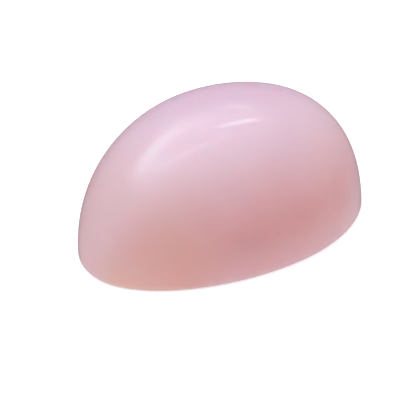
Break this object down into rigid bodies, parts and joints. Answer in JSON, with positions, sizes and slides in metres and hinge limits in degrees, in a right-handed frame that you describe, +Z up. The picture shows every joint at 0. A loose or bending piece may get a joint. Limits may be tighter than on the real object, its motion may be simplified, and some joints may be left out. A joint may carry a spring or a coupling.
{
  "type": "pink opal cabochon",
  "caption": "Oval high-dome cabochon of pink opal with a polished dome, a flat back and a fine bevel round the foot.",
  "frame": {"origin": "middle of the flat back, on the surface the stone rests on", "axes": "+Z up from the flat back to the top of the dome, X along the oval's length with the slightly fuller end at +X, Y across its width"},
  "size_m": [0.014, 0.01, 0.0052],
  "materials": {
    "pink_opal": "milky translucent pink opal, high polish on the dome and fine-ground on the flat back"
  },
  "bodies": {
    "root": {"cabochon": "pink_opal"}
  },
  "joints": []
}
